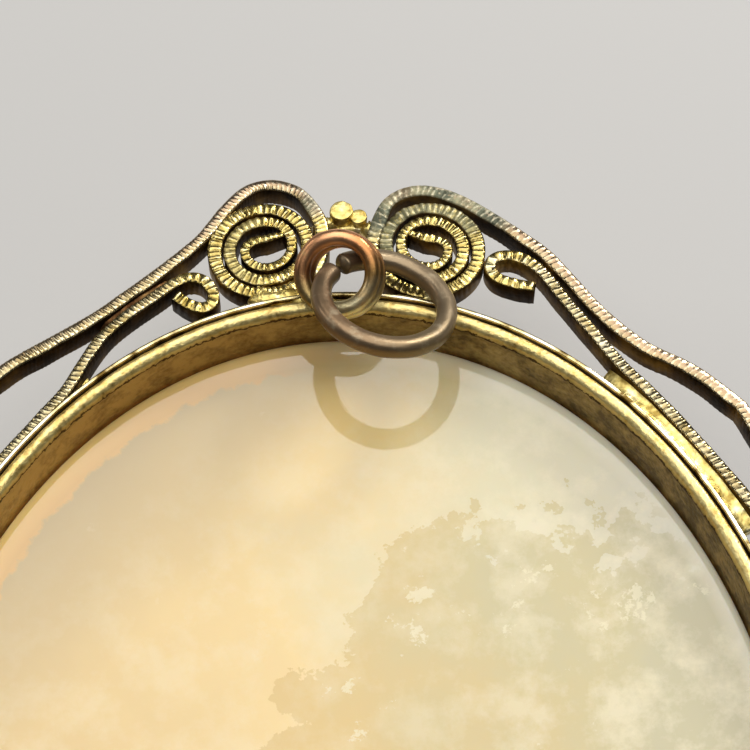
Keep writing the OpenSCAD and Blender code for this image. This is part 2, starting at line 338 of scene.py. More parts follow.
def placed(pointsMm, turn, flip):
    # Carries a piece of the first quarter to its own quarter
    c, s = math.cos(math.radians(turn)), math.sin(math.radians(turn))
    x, y, z = np.asarray(pointsMm).T
    return np.column_stack([flip * x * c - y * s, flip * x * s + y * c, z])


wire = {
    "innerWidth": 0.58,  # mm, width of the inner strands
    # width of the outer ones from a spiral's inner end: the tip is drawn thin, by the beads it is flattened
    "outerWidths": [(0, 0.3), (0.7, 0.46), (6.5, 0.5), (9.5, 0.62), (19, 0.64), (22, 0.68), (28, 0.64),
                    (29, 0.72), (32.4, 0.72), (33.6, 0.64)],
    # how far the outer strands reach over their middle line; the rest of their width is inside
    "outerReach": 0.277,
    "height": 1.4,
    "drop": 0.2,  # how far the wire's edge lies below the back rim
    "crown": 0.17,  # height of the rounded edge
    "capDegrees": [0, 30, 58, 90, 122, 150, 180],  # places of the points round the edge
    "capPowers": (0.6, 0.8),  # how boxy the rounding is, across and up
    # spacing of the milled grooves in a strand, and in its spiral or curl, where the bent wire is opened up
    "pitches": {"outerRight": (0.3, 0.3), "outerLeft": (0.225, 0.3), "innerRight": (0.32, 0.4),
                "innerLeft": (0.25, 0.37)},
    "pitchWaver": [(0.1, 1.9, 1), (0.06, 4.7, 2)],  # share, radians for a millimetre, times the seed
    "grooveDepth": 0.12,
    # mean, swing, radians for a millimetre of two waves, times the seed in the second one
    "wearWaves": (0.9, 0.3, 0.8, 2.3, 3),
    "widthWaves": (0.98, 0.05, 2.1, 0.9, 0),
    "wearRange": (0.45, 1.2),
    "rowsPerGroove": 4,
    "chances": (0.12, 0.25, 0.16),  # how uneven the ridges' heights, the grooves' depths and their slants are
    "slant": 0.3,  # how far a groove runs aslant in the strands, as a share of the wire's width
    "lumps": (0.06, 0.42),  # depth and size of the uneven wear on the edge
    "waver": 0.03,  # how far the opened-up wire strays to its sides
    "spiralRun": 31.0,  # length of wire in a spiral
    "curlRun": 5.0,
    "blend": 1.0,  # half the length over which a spiral or curl becomes a strand
    # stretches of stain along the wire from the spiral's inner end: start, end, strength
    "stains": {"Right": [(13.5, 22.0, 0.8), (31.5, 40.0, 0.95)],
               "Left": [(8.0, 12.6, 0.3), (32.8, 34.0, 0.8)]},
    "stainFade": 0.6,
    "stainFill": 0.35,  # share of a groove that the stain fills
    # stretches that are smeared over with solder: start, end
    "smears": {"Right": (28.6, 30.8), "Left": (28.4, 32.6)},
    "smearFade": 0.4,
    "smearFill": 0.8,
    # how far the strands' outer shoulder is rubbed smooth, along the wire from a spiral's inner end
    "rubs": {"Right": [(31, 0), (34, 0.5), (40, 1)], "Left": [(31, 0), (33, 1), (38, 1), (42, 0.35)]},
    "rubFill": 0.95,
    "shoulder": (0.75, 0.6),  # slope and level of the rubbing across the wire
}


def waves(place, seed, mean, swing, slow, fast, times):
    # Two waves that seldom meet, so that the wear of a hand-made wire doesn't repeat along it
    return mean + swing * np.sin(slow * place + seed) * np.sin(fast * place + times * seed)


def stretch(place, start, end, fade):
    # One along this stretch of the wire, fading to nothing at its two ends
    return smoothStep(start - fade, start + fade, place) * (1 - smoothStep(end - fade, end + fade, place))


def milledRows(line, pitches, endRun, seed):
    # Sets the rows so that each groove gets the same number of them, though the pitch changes along the wire
    line = line[np.concatenate([[True], np.linalg.norm(np.diff(line, axis=0), axis=1) > 1e-6])]
    length = np.concatenate([[0], np.cumsum(np.linalg.norm(np.diff(line, axis=0), axis=1))])
    fine = np.linspace(0, length[-1], int(length[-1] / 0.02))
    coarse = 1 - smoothStep(endRun - wire["blend"], endRun + wire["blend"], np.minimum(fine, fine[-1] - fine))
    pitch = pitches[0] + (pitches[1] - pitches[0]) * coarse
    pitch *= 1 + sum(share * np.sin(rate * fine + times * seed) for share, rate, times in wire["pitchWaver"])
    phase = np.cumsum((fine[1] - fine[0]) / pitch)
    rowPhase = np.arange(phase[0], phase[-1], 1 / wire["rowsPerGroove"])
    place = np.interp(rowPhase, phase, fine)
    points = np.column_stack([np.interp(place, length, line[:, i]) for i in range(2)])
    return points, place, rowPhase, np.interp(place, fine, coarse)


def milledWire(name, line, hand, kind, turn, flip, seed, material):
    spiral = kind == "outer"
    endRun = wire["spiralRun" if spiral else "curlRun"]
    points, place, phase, coarse = milledRows(line, wire["pitches"][kind + hand], endRun, seed)
    ahead = np.gradient(points, axis=0)
    ahead /= np.linalg.norm(ahead, axis=1)[:, None]
    side = np.column_stack([-ahead[:, 1], ahead[:, 0]])

    # How the wire's width, grooves, stains and wear change along it
    stain, smear, rub = np.zeros((3, len(points)))
    width = np.full(len(points), wire["innerWidth"])
    if spiral:
        for start, end, strength in wire["stains"][hand]:
            stain = np.maximum(stain, stretch(place, start, end, wire["stainFade"]) * strength)
        smear = stretch(place, *wire["smears"][hand], wire["smearFade"])
        fromEnd = np.minimum(place, place[-1] - place)
        rub = np.interp(fromEnd, *np.array(wire["rubs"][hand]).T)
        width = np.interp(fromEnd, *np.array(wire["outerWidths"]).T)
    half = width / 2 * waves(place, seed, *wire["widthWaves"])
    perGroove = np.random.default_rng(seed + 50).uniform(-1, 1, (int(phase[-1]) + 3, 3)) * wire["chances"]
    groove = np.floor(phase + 0.5).astype(int)
    ridge = np.abs(np.sin(np.pi * phase)) * (1 + perGroove[np.floor(phase).astype(int), 0])
    wear = np.clip(waves(place, seed, *wire["wearWaves"]), *wire["wearRange"])
    depth = wire["grooveDepth"] * wear * (0.75 + 0.5 * coarse) * (1 + perGroove[groove, 1])
    depth *= (1 - wire["smearFill"] * smear) * (1 - wire["stainFill"] * stain)

    # Sections: a rounded edge above and below, cut into by the grooves, less so on the rubbed outer shoulder
    caps = np.radians(wire["capDegrees"])
    capAcross = bow(np.cos(caps), wire["capPowers"][0])
    capUp = np.sin(caps) ** wire["capPowers"][1]
    across = np.concatenate([capAcross, -capAcross])
    up = np.concatenate([capUp, -capUp])
    edge = np.abs(up)
    low = wire["height"] / 2 - wire["crown"]
    shoulder = np.clip(across * wire["shoulder"][0] + wire["shoulder"][1], 0, 1)
    rubbed = 1 - wire["rubFill"] * shoulder[None, :] * rub[:, None]
    cut = (np.clip(1 - ridge, 0, 1) * depth)[:, None] * edge[None, :] * rubbed
    sections = np.empty((len(points), len(across), 2))
    sections[:, :, 0] = across * half[:, None] - np.sign(across) * cut * (0.5 + 0.4 * coarse)[:, None]
    if spiral:
        sections[:, :, 0] -= (np.maximum(half - wire["outerReach"], 0) * (1 - coarse))[:, None]
    sections[:, :, 1] = up * wire["crown"] + np.sign(up) * (low - cut)
    ends = len(caps) - 1
    sections[:, [0, ends, ends + 1, -1], 1] = np.array([1, 1, -1, -1]) * low
    z = rimZ - wire["drop"] - wire["height"] / 2
    mesh, row, column = sweep(raised(points, z), raised(side, 0), sections)

    # The slant: each vertex slides along the wire by its place across it
    slant = wire["slant"] * (1 - coarse) + perGroove[groove, 2]
    places = getPlaces(mesh)
    places[:, :2] += ahead[row] * (sections[row, column, 0] * slant[row] * edge[column])[:, None]
    # Uneven wear: the edge sinks in lumps, and the wire wavers a little to its sides
    lumpDepth, lumpSize = wire["lumps"]
    for i in np.nonzero(edge[column] > 0.1)[0]:
        spot = Vector(places[i]) / lumpSize + Vector((seed, 0, 0))
        sink = (noise.noise(spot) + 0.6) * lumpDepth * (0.6 + 0.7 * coarse[row[i]])
        places[i, 2] -= sink * np.sign(up[column[i]]) * edge[column[i]]
        stray = noise.noise(spot * 0.5 + Vector((0, 9, 0)))
        places[i, :2] += side[row[i]] * stray * wire["waver"] * coarse[row[i]]
    setPlaces(mesh, placed(places, turn, flip))

    outward = np.clip(shoulder[column] * 1.3 - 0.3, 0.22, 1) * rub[row] * (1 - smear[row])
    worn = (1 - 0.7 * smear[row]) * (1 - 0.9 * np.clip(outward * 1.4, 0, 1))
    setAttributes(mesh, {"crest": np.clip(1 - (1 - ridge[row]) * worn, 0, 1), "edge": edge[column],
                         "outward": outward, "stain": stain[row], "yellow": np.maximum(coarse, smear)[row]})
    closeMesh(mesh)
    return finishPiece(name, mesh, material, "scroll_frame")


def milledMaterial():
    # Gold-plated brass wire, rolled and milled along its edge. The plate is left on the crests, pale and
    # bright, with painted glints on the highest. Bronze shows where it is rubbed off, dirt and painted shade
    # darken the grooves, the sides are painted dark as shade, and some turns are grey-green
    material, add, place, crest, edge, outward, stain, yellow = startMaterial(
        "milled gold-plated brass wire", "crest", "edge", "outward", "stain", "yellow")
    blotch, mottle, fine = [add("TexNoise", {"Scale": perMm(size), "Detail": detail, "Vector": place})
                            for size, detail in ((1.8, 4.0), (0.5, 3.0), (0.22, 3.0))]
    # The last ramp colours the wire's sides, painted dark brown as shade
    pale, warm, patina, wall = [add("ValToRGB", {"stops": stops, "Fac": blotch}) for stops in (
        [(0.35, "#93845a"), (0.5, "#c9ba90"), (0.62, "#b5a378"), (0.7, "#e2d8b4")],
        [(0.35, "#b39b4c"), (0.5, "#dcc67a"), (0.62, "#ccb362"), (0.7, "#eedfa8")],
        [(0.36, "#3a3f2f"), (0.48, "#62664f"), (0.57, "#989473"), (0.68, "#74654a")],
        [(0.38, "#281a09"), (0.52, "#533c17"), (0.68, "#8f7130")])]
    dulled = add("MapRange", {"Value": mottle, "From": (0.4, 0.62), "To": (0, 0.55)})
    rubbed = add("MapRange", {"Value": outward, "From": (0.05, 0.5), "To": (0, 0.92)})
    patchy = add("MapRange", {"Value": fine, "From": (0.68, 0.5), "To": (0.3, 1)})
    staining = add("Math", {"operation": "MULTIPLY", 0: stain, 1: patchy})
    metal = pale
    for share, over in ((yellow, warm), (dulled, "#937b40"), (rubbed, "#a08468"), (staining, patina)):
        metal = add("Mix", {"data_type": "RGBA", 0: share, 6: metal, 7: over}, 2)
    # The grooves are darkened with dirt and painted shade, below the crests' level broken up by fine noise
    dirtAndShade = "#20150a"
    for share, over in ((yellow, "#463714"), (stain, "#4b4e3a")):
        dirtAndShade = add("Mix", {"data_type": "RGBA", 0: share, 6: dirtAndShade, 7: over}, 2)
    dirtAndShadeLevel = add("Math", {"operation": "MULTIPLY_ADD", 0: fine, 1: 0.8, 2: -0.4})
    crestLevel = add("Math", {"operation": "ADD", 0: crest, 1: dirtAndShadeLevel})
    clearOfDirtAndShade = add("MapRange", {"Value": crestLevel, "From": (0.08, 0.62), "To": (0.05, 1)})
    # A painted highlight: cream glints on the highest crests
    paintedGlintShare = add("MapRange", {"Value": crestLevel, "From": (0.86, 1.1), "To": (0, 0.5)})
    # onTop keeps the top's colours on the rounded edges, and the sides get their painted shade
    onTop = add("MapRange", {"Value": edge, "From": (0.15, 0.6)})
    top = add("Mix", {"data_type": "RGBA", 0: clearOfDirtAndShade, 6: dirtAndShade, 7: metal}, 2)
    paintedGlint = add("Mix", {"data_type": "RGBA", 0: paintedGlintShare, 6: top, 7: "#fff4cf"}, 2)
    rough = add("MapRange", {"Value": onTop, "To": (0.5, 0.25)})
    return finishMaterial(material, {
        "Base Color": add("Mix", {"data_type": "RGBA", 0: onTop, 6: wall, 7: paintedGlint}, 2),
        "Metallic": add("Math", {"operation": "MULTIPLY_ADD", 0: stain, 1: -0.5, 2: 0.95}),
        "Roughness": add("Math", {"operation": "MULTIPLY_ADD", 0: stain, 1: 0.22, 2: rough}),
        "Normal": add("Bump", {"Strength": 0.6, "Distance": 0.04 * mm, "Height": fine})})


milled = milledMaterial()
quarters = [(turn, flip, ("foot" if turn else "top") + ("Right" if flip > 0 else "Left"))
            for turn in (0, 180) for flip in (1, -1)]
for turn, flip, corner in quarters:
    hand = "Right" if flip > 0 else "Left"
    seed = 5 + turn // 90 * 2 + flip
    strand = outerStrand(border["hood" + hand], border["link" + hand])
    milledWire(corner + "OuterWire", strand, hand, "outer", turn, flip, seed, milled)
    curl = innerStrand(border["curl" + hand])
    milledWire(corner + "InnerWire", curl, hand, "inner", turn, flip, seed + 20, milled)
print("milled wire done")

# Beads and solder of the motifs

solder = {
    "grain": 0.055,  # mm, voxel of the melted shapes
    # discs of solder with flat tops: across, out from the band, radius, how far the top lies below the rim
    "discs": [(-0.25, 5.12, 0.58, 0.11), (0.55, 4.9, 0.44, 0.3)],
    "discHeight": 1.2,
    "discEdge": 0.09,  # rounding of a disc's edges
    "discInset": 0.15,  # ring of finer faces round its flat top
    "discWear": (0.3, 0.08),  # size and depth of the dents, here and below
    "lumpWear": (0.4, 0.16),
    "fillWear": (0.5, 0.1),
    # each lump: place across, out from the band and down from the rim, then its half sizes
    "bridge": [(-0.95, 4.85, -1.05, 0.7, 0.4, 0.5), (-1.3, 4.45, -0.9, 0.42, 0.62, 0.6),
               (0.15, 4.6, -1.15, 1.0, 0.36, 0.45), (1.05, 4.3, -0.8, 0.4, 0.46, 0.55),
               (1.2, 3.65, -0.85, 0.36, 0.44, 0.5)],
    "feet": [(-3.5, 0.25, -0.5, 1.15, 0.52, 0.5), (-2.6, 0.4, -0.42, 0.85, 0.5, 0.45),
             (-2.1, 0.1, -0.34, 0.55, 0.36, 0.34), (-3.9, 0.6, -0.7, 0.75, 0.55, 0.5),
             (3.87, 0.5, -0.8, 0.76, 0.56, 0.55), (2.95, 0.62, -0.85, 0.7, 0.46, 0.5)],
    "loopFoot": [(-0.85, 23.98, 0.02, 0.6, 0.42, 0.34), (-1.15, 24.2, 0.12, 0.44, 0.3, 0.38)],
    "fillStart": 12.6,  # run where the solder between inner strand and band starts
    "fillDrop": 0.42,
    "fillGaps": (0.02, 0.15),  # from the band's face, and back from the strand's middle line
    "fillLift": 0.15,  # how far its underside lies over the wire's
    "fillSag": (0.16, 0.5),  # how far a bar of solder sags in its middle and at its two ends
    "seam": (7.3, 10.9),  # runs of the solder seam between the two left strands
    "seamDrop": 0.3,
    "seamGap": 0.1,  # back from the strands' middle lines
}


def meltLumps(name, lumps, base, material, stands, seed):
    # Ellipsoids run into one another like melted solder, in millimetres at first for the voxels' sake
    bm = bmesh.new()
    for x, y, z, *halves in lumps:
        spot = Matrix.Translation((x, y + base, z + rimZ)) @ Matrix.Diagonal((*halves, 1))
        bmesh.ops.create_icosphere(bm, subdivisions=3, radius=1, matrix=spot)
    holder = addObject(name + "Lumps", takeMesh(bm, name))
    remesh = holder.modifiers.new("melt", "REMESH")
    remesh.mode = "VOXEL"
    remesh.voxel_size = solder["grain"]
    smooth = holder.modifiers.new("settle", "SMOOTH")
    smooth.factor = 0.5
    smooth.iterations = 4
    melted = bpy.data.meshes.new_from_object(holder.evaluated_get(bpy.context.evaluated_depsgraph_get()))
    bpy.data.objects.remove(holder)
    melted.transform(Matrix.Diagonal((mm, mm, mm, 1)))
    wearDown(melted, *solder["lumpWear"], seed)
    return finishPiece(name, melted, material, stands)


def solderDiscs(name, base, spin, material, seed):
    bm = bmesh.new()
    deep = solder["discHeight"]
    for x, y, radius, drop in solder["discs"]:
        spot = spin @ Matrix.Translation((x, y + base, rimZ - drop - deep / 2))
        made = bmesh.ops.create_cone(bm, cap_ends=True, segments=40, radius1=radius, radius2=radius,
                                     depth=deep, matrix=spot)
        edges = among(bm.edges, made["verts"])
        rims = [e for e in edges if any(len(f.verts) > 4 for f in e.link_faces)]
        bmesh.ops.bevel(bm, geom=rims, offset=solder["discEdge"], affect="EDGES", segments=4, profile=0.5,
                        material=-1)
    bmesh.ops.inset_region(bm, faces=[f for f in bm.faces if len(f.verts) > 4],
                           thickness=solder["discInset"])
    bmesh.ops.scale(bm, vec=(mm, mm, mm), verts=bm.verts)
    mesh = takeMesh(bm, name)
    wearDown(mesh, *solder["discWear"], seed)
    return finishPiece(name, mesh, material, "scroll_frame")


def solderMaterial(name, stops, roughness):
    # Hard solder, flooded and left as it set: lumpy and bright where it is clean, with brown flux in the pits
    material, add, place = startMaterial(name)
    stain, grain = [add("TexNoise", {"Scale": perMm(size), "Detail": detail, "Vector": place})
                    for size, detail in ((0.7, 4.0), (0.16, 2.0))]
    return finishMaterial(material, {
        "Base Color": add("ValToRGB", {"stops": stops, "Fac": stain}),
        "Metallic": 0.95,
        "Roughness": add("MapRange", {"Value": grain, "From": (0.3, 0.7),
                                      "To": (roughness + 0.14, roughness)}),
        "Normal": add("Bump", {"Strength": 0.5, "Distance": 0.04 * mm, "Height": grain})})


def fillBetween(name, inner, outer, drop, turn, flip, material):
    # A bar of solder between two lines, with its top sagging in the middle and towards its two ends
    inner, outer = np.array(inner), np.array(outer)
    rows = len(inner)
    sag, endSag = solder["fillSag"]
    share = np.linspace(-1, 1, 7)
    high = -drop - sag * (1 - share ** 2) - (np.abs(np.linspace(-1, 1, rows)) ** 4 * endSag)[:, None]
    low = np.full((rows, 7), -wire["drop"] - wire["height"] + solder["fillLift"])
    across = np.tile(np.concatenate([share, share[::-1]]), (rows, 1))
    sections = np.stack([across, np.hstack([high, low])], 2)
    mesh = sweep(raised((inner + outer) / 2, rimZ), raised((outer - inner) / 2, 0), sections)[0]
    setPlaces(mesh, placed(getPlaces(mesh), turn, flip))
    closeMesh(mesh)
    wearDown(mesh, *solder["fillWear"], 8)
    return finishPiece(name, mesh, material, "scroll_frame")


def ovalRuns(curl):
    # The band's side and the strand's side of the solder, from near one motif to near the next
    start = solder["fillStart"]
    bandGap, strandGap = solder["fillGaps"]
    runs, offs = np.array(curl[-5:]).T
    places = np.linspace(start, quarter - halfRun + (halfRun - start) * border["farShare"], 70)
    table = np.where(places < halfRun, places, halfRun - (places - halfRun) / border["farShare"])
    sides = np.full(len(places), bandGap), np.interp(table, runs, offs) - strandGap
    return [[ovalPoint(run, off) for run, off in zip(places, side)] for side in sides]


goldStops = [(0.38, "#a08642"), (0.48, "#dcc474"), (0.58, "#ebd78b"), (0.68, "#fbf0c6")]
gold = solderMaterial("flooded gold solder", goldStops, 0.32)
seamStops = [(0.35, "#4d3018"), (0.5, "#86603a"), (0.65, "#a8834f")]
copperFill = solderMaterial("coppery solder seam", seamStops, 0.42)
for motif, turn in {"top": 0.0, "left": 90.0, "foot": 180.0, "right": 270.0}.items():
    base = topY if motif in ("top", "foot") else sideX
    spin = rotation(turn, "Z")
    solderDiscs(motif + "Beads", base, spin, gold, len(motif))
    for part in ("bridge", "feet"):
        name = motif + part.capitalize()
        piece = meltLumps(name, solder[part], base, gold, "scroll_frame", len(motif))
        piece.data.transform(spin)
meltLumps("loopSolder", solder["loopFoot"], 0, gold, "bezel", 3)
for turn, flip, corner in quarters:
    curl = border["curlRight" if flip > 0 else "curlLeft"]
    fillBetween(corner + "BandSolder", *ovalRuns(curl), solder["fillDrop"], turn, flip, gold)
    if flip < 0:
        runs = np.linspace(*solder["seam"], 30)
        sides = [[ovalPoint(run, off + gap) for run, off in zip(runs, np.interp(runs, *np.array(knots).T))]
                 for knots, gap in ((curl[7:], solder["seamGap"]), (border["linkLeft"], -solder["seamGap"]))]
        fillBetween(corner + "SeamSolder", *sides, solder["seamDrop"], turn, flip, copperFill)
print("beads and solder done")

# Thin band, bezel wall


def ovalSweep(profile, segments):
    # Carries a closed profile of (offset, height) pairs round the oval opening
    profile = np.array(profile)
    mesh, row, column = gridMesh(segments + 1, len(profile) + 1)
    turn = (row % segments) / segments * 2 * math.pi
    off, z = profile[column % len(profile)].T
    setPlaces(mesh, np.column_stack([(setting["openingHalfW"] + off) * np.sin(turn),
                                     (setting["openingHalfH"] + off) * np.cos(turn), z]))
    return mesh, off, z


def bandMaterial():
    # Thin rolled brass strip with bright plate, painted with a highlight along its upper edge and dark below
    # it as shade
    material, add, place = startMaterial("plated strip with painted highlight")
    stain = add("TexNoise", {"Scale": perMm(1.4), "Detail": 4.0, "Vector": place})
    plate = add("ValToRGB", {"stops": [(0.38, "#5f4a20"), (0.47, "#d8c48c"), (0.58, "#fff2d0")],
                             "Fac": stain})
    high = add("MapRange", {"Value": add("SeparateXYZ", {0: place}, "Z"),
                            "From": ((rimZ - 0.35) * mm, (rimZ - 0.1) * mm)})
    return finishMaterial(material, {
        # Below its upper edge the strip is painted dark as shade, and the edge keeps the plate's bright stops
        # as a painted highlight
        "Base Color": add("Mix", {"data_type": "RGBA", 0: high, 6: "#4a3416", 7: plate}, 2),
        "Metallic": 0.95,
        "Roughness": add("MapRange", {"Value": high, "To": (0.5, 0.22)})})


def bezelMaterial():
    # Gold plate over brass, worn and tarnished: olive gold on the rim, painted lighter and yellower towards
    # the right where the light falls, with a painted speckled highlight along the inner edge, and dull
    # olive-brown down the inner wall, painted darker towards the right as shade, with a ragged line of
    # painted shade just under the edge
    material, add, place, wall, rub, inside = startMaterial(
        "tarnished gold plate over brass", "wall", "rub", "inside")
    x, z = [add("SeparateXYZ", {0: place}, axis) for axis in "XZ"]
    stain, speck = [
        add("TexNoise", {"Scale": perMm(size), "Detail": detail, "Roughness": rough, "Vector": place})
        for size, detail, rough in ((1.5, 5.0, 0.65), (0.26, 3.0, 0.5))]
    # Painted light on the rim towards the right, and painted shade down the inner wall towards the right
    lightToRight = add("MapRange", {"Value": x, "From": (-14 * mm, 14 * mm), "To": (-0.03, 0.08)})
    level = add("Math", {"operation": "MULTIPLY_ADD", 0: speck, 1: 0.4, 2: stain})
    shifted = add("Math", {"operation": "ADD", 0: level, 1: lightToRight})
    wallShadeToRight = add("Math", {"operation": "MULTIPLY_ADD", 0: lightToRight, 1: -2.4, 2: level})
    rim = add("ValToRGB", {"stops": [(0.5, "#957840"), (0.64, "#d3b468"), (0.8, "#efd892")], "Fac": shifted})
    inner = add("ValToRGB", {"stops": [(0.42, "#66542f"), (0.6, "#9a8251"), (0.8, "#c2a970")], "Fac": wallShadeToRight})
    # A painted highlight: bright specks along the rim's inner edge, where the rub share is
    highlightSpeck = add("Math", {"operation": "MULTIPLY_ADD", 0: speck, 1: 2.0, 2: -0.62})
    rubbed = add("Math", {"operation": "MULTIPLY", "use_clamp": True, 0: rub, 1: highlightSpeck})
    # A ragged dark line of painted shade on the inner wall, just under the rim
    ragged = add("Math", {"operation": "MULTIPLY_ADD", 0: speck, 1: 0.5 * mm, 2: z})
    shadeLine = add("Math", {"operation": "COMPARE", 0: ragged, 1: (rimZ - setting["shadeLine"]) * mm,
                          2: 0.06 * mm})
    shadeLined = add("Math", {"operation": "MULTIPLY", 0: shadeLine, 1: inside})
    colour = rim
    for share, over in ((rubbed, "#f7e39a"), (wall, inner), (shadeLined, "#2c1b0a")):
        colour = add("Mix", {"data_type": "RGBA", 0: share, 6: colour, 7: over}, 2)
    return finishMaterial(material, {
        "Base Color": colour,
        "Metallic": 0.92,
        "Roughness": add("MapRange", {"Value": wall, "To": (0.42, 0.5)}),
        "Normal": add("Bump", {"Strength": 0.8, "Distance": 0.06 * mm, "Height": speck})})


def makeBand():
    outer = bandGrow
    inner = bandGrow - setting["bandThickness"]
    low = rimZ - setting["bandHeight"]
    soft = setting["bandSoftness"]
    profile = [(inner, low), (outer, low), (outer, rimZ - soft), (outer - 0.3 * soft, rimZ - 0.3 * soft),
               (outer - soft, rimZ), (inner + soft, rimZ), (inner + 0.3 * soft, rimZ - 0.3 * soft),
               (inner, rimZ - soft)]
    mesh = ovalSweep(profile, setting["bandSegments"])[0]
    closeMesh(mesh, False)
    return finishPiece("outerBand", mesh, bandMaterial(), "scroll_frame")


def makeBezel():
    width = setting["rimWidth"]
    seat = flangeZ - setting["fitGap"]
    low = seat - setting["lipThickness"]
    lip = -setting["lipWidth"]
    lipEdge, wallEdge = setting["lipEdge"], setting["wallEdge"]
    profile = [(lip, low + lipEdge), (lip + lipEdge, low), (width - wallEdge, low), (width, low + wallEdge)]
    profile += [(width, z) for z in np.linspace(low + 0.5, rimZ - 0.3, 5)]
    profile += [(off, rimZ + drop) for off, drop in setting["crown"]]
    profile += [(0, z) for z in np.linspace(rimZ - 0.6, seat + 0.05, 9)]
    profile += [(0, seat), (lip, seat)]
    mesh, off, z = ovalSweep(profile, setting["bezelSegments"])
    # wall: the inner wall; rub: the band of painted highlight along the rim's inner edge; inside: the wall's
    # face
    setAttributes(mesh, {"wall": np.where(off < 0.3, 1 - smoothStep(rimZ - 0.42, rimZ - 0.2, z), 0),
                         "rub": np.where(z > rimZ - 0.5, 1 - smoothStep(0.1, 0.2, np.abs(off - 0.2)), 0),
                         "inside": np.where(np.abs(off) < 0.1, 0.85, 0)})
    closeMesh(mesh, False)
    wearDown(mesh, *setting["bezelWear"])
    return finishPiece("bezelWall", mesh, bezelMaterial(), "bezel")


makeBand()
makeBezel()
print("band and bezel done")

# Rings: the hanging loop of two coils, and the loose chain ring

rings = {
    # middle over the rim, which way it leans, size, where its wire starts, how one coil is shifted, how round
    "loop": {"middle": (-0.275, 24.71, 1.51), "lean": 33.0, "turn": -113.0, "radius": 1.66, "wire": 0.82,
             "start": 326.0, "sweep": 738.0, "pitch": 0.492, "shift": (-0.12, 0.11, 0), "square": 0.95},
    "chain": {"middle": (1.75, 23.05, 1.69), "lean": 20.5, "turn": 53.5, "radius": 2.92, "wire": 1.08,
              "start": 87.5, "sweep": 352.0, "pitch": 0.1, "shift": (0, 0, 0), "square": 0.84},
    "step": (325, 385),  # degrees: here, near its soldered foot, the loop's wire steps to the next coil
    "rowDegrees": 1.8,
    "around": 24,
    "endRounding": 0.3,  # length of the rounding at a wire's end, as a share of its radius
    "wear": (0.9, 0.05),  # size and depth of the dents
}


def ringWire(name, ring, material, stands, seed):
    rows = int(ring["sweep"] / rings["rowDegrees"])
    swept = np.linspace(0, ring["sweep"], rows + 1)
    degrees = ring["start"] + swept
    radial = np.column_stack([np.cos(np.radians(degrees)), np.sin(np.radians(degrees))])
    climb = (smoothStep(*rings["step"], swept) if ring["sweep"] > 360 else swept / ring["sweep"]) - 0.5
    run = np.radians(swept) * ring["radius"]
    half = ring["wire"] / 2
    share = np.clip(np.minimum(run, run[-1] - run) / (half * rings["endRounding"]), 0, 1)
    size = half * np.sqrt(np.maximum(1 - (1 - share) ** 2, 1e-4))
    # The wire is slightly flattened
    around = np.linspace(0, 2 * math.pi, rings["around"], endpoint=False)
    corner, rise = [bow(wave(around), ring["square"]) * size[:, None] for wave in (np.cos, np.sin)]
    sections = np.stack([corner, rise], 2) * 0.5 * (1 + ring["square"])
    centres = raised(radial * ring["radius"], climb * ring["pitch"])
    mesh, row, column = sweep(centres, raised(radial, 0), sections)
    spin = (rotation(ring["turn"], "Z") @ rotation(ring["lean"], "Y")).to_3x3()
    shifted = np.array(ring["middle"]) + [0, 0, rimZ] + climb[row][:, None] * np.array(ring["shift"])
    setPlaces(mesh, getPlaces(mesh) @ np.array(spin).T + shifted)
    setAttributes(mesh, {"angle": degrees[row] / 360, "underside": 0.5 - 0.5 * np.sin(around[column])})
    closeMesh(mesh)
    wearDown(mesh, *rings["wear"], seed)
    return finishPiece(name, mesh, material, stands)


def ringMaterial(name, turnStops, patch, undersideShade, roughness, metallic):
    # Drawn wire, bent and soldered: smooth with faint draw lines, its colour changing round it where the
    # torch and the fingers have been, on the copper loop with a painted highlight at its top, and painted
    # darker on its underside as shade
    material, add, place, angle, under = startMaterial(name, "angle", "underside")
    stain, grain = [
        add("TexNoise", {"Scale": perMm(size), "Detail": detail, "Roughness": rough, "Vector": place})
        for size, detail, rough in ((0.9, 4.0, 0.6), (0.14, 2.0, 0.5))]
    wander = add("Math", {"operation": "MULTIPLY_ADD", 0: stain, 1: 0.16, 2: -0.08})
    wandered = add("Math", {"operation": "ADD", 0: angle, 1: wander})
    within = add("Math", {"operation": "FRACT", 0: wandered})
    spots = add("MapRange", {"Value": stain, "From": (0.55, 0.66), "To": (0, 0.6)})
    # Painted shade: the wire is darkened on its underside
    shade = add("MapRange", {"Value": under, "From": (0.35, 1.0), "To": (0, 0.65)})
    colour = add("ValToRGB", {"stops": turnStops, "Fac": within})
    for share, over in ((spots, patch), (shade, undersideShade)):
        colour = add("Mix", {"data_type": "RGBA", 0: share, 6: colour, 7: over}, 2)
    return finishMaterial(material, {
        "Base Color": colour,
        "Metallic": metallic,
        "Roughness": add("MapRange", {"Value": stain, "From": (0.3, 0.7),
                                      "To": (roughness, roughness + 0.16)}),
        "Normal": add("Bump", {"Strength": 0.25, "Distance": 0.03 * mm, "Height": grain})})


